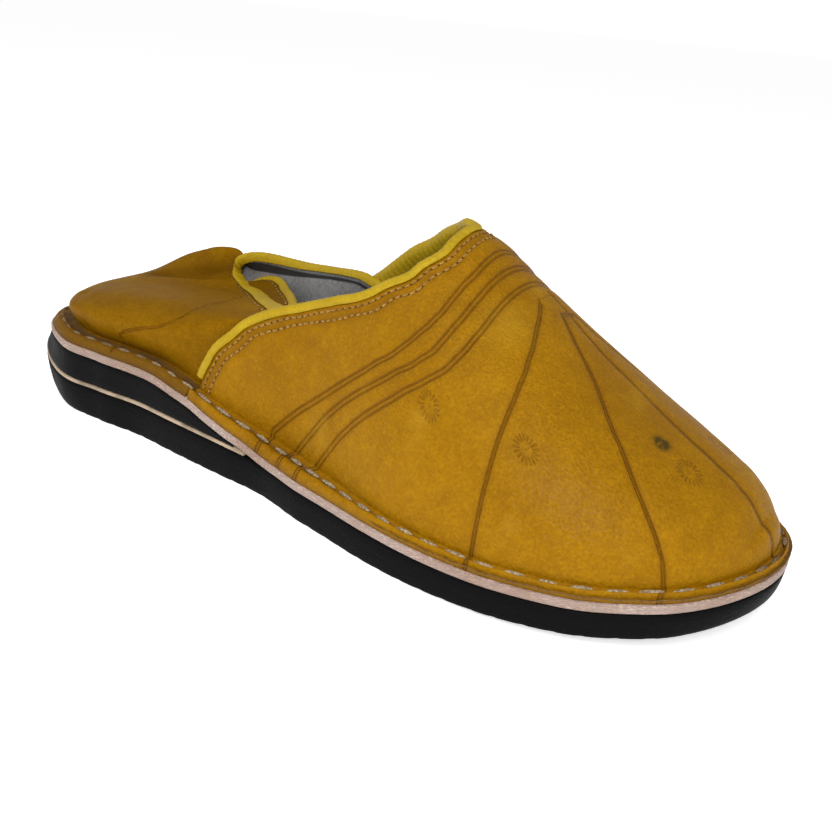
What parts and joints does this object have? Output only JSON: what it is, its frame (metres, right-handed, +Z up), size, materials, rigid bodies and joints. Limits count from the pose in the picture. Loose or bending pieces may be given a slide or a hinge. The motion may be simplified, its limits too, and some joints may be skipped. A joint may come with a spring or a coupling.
{
  "type": "babouche slipper",
  "caption": "Left backless leather slipper with a trodden-down heel quarter, bound throat and stitched-down rubber sole.",
  "frame": {"origin": "middle of the bounding box, on the floor under the sole", "axes": "+X from heel to toe, +Z up, -Y towards the inner side of the left foot"},
  "size_m": [0.2868, 0.1056, 0.0893],
  "materials": {
    "outsole_rubber": "matt black",
    "stripe_rubber": "matt beige",
    "wedge_rubber": "matt black",
    "midsole_leather": "cut edge, dusty pink",
    "insole_leather": "grey suede",
    "vamp_leather": "mustard, half gloss",
    "quarter_leather": "dark mustard, half gloss",
    "binding_leather": "bright yellow, half gloss"
  },
  "bodies": {
    "root": {"outsole": "outsole_rubber", "heel_stripe": "stripe_rubber", "heel_wedge": "wedge_rubber", "midsole": "midsole_leather", "insole": "insole_leather", "vamp": "vamp_leather", "quarter": "quarter_leather", "vamp_binding": "binding_leather", "quarter_binding": "binding_leather"}
  },
  "joints": []
}
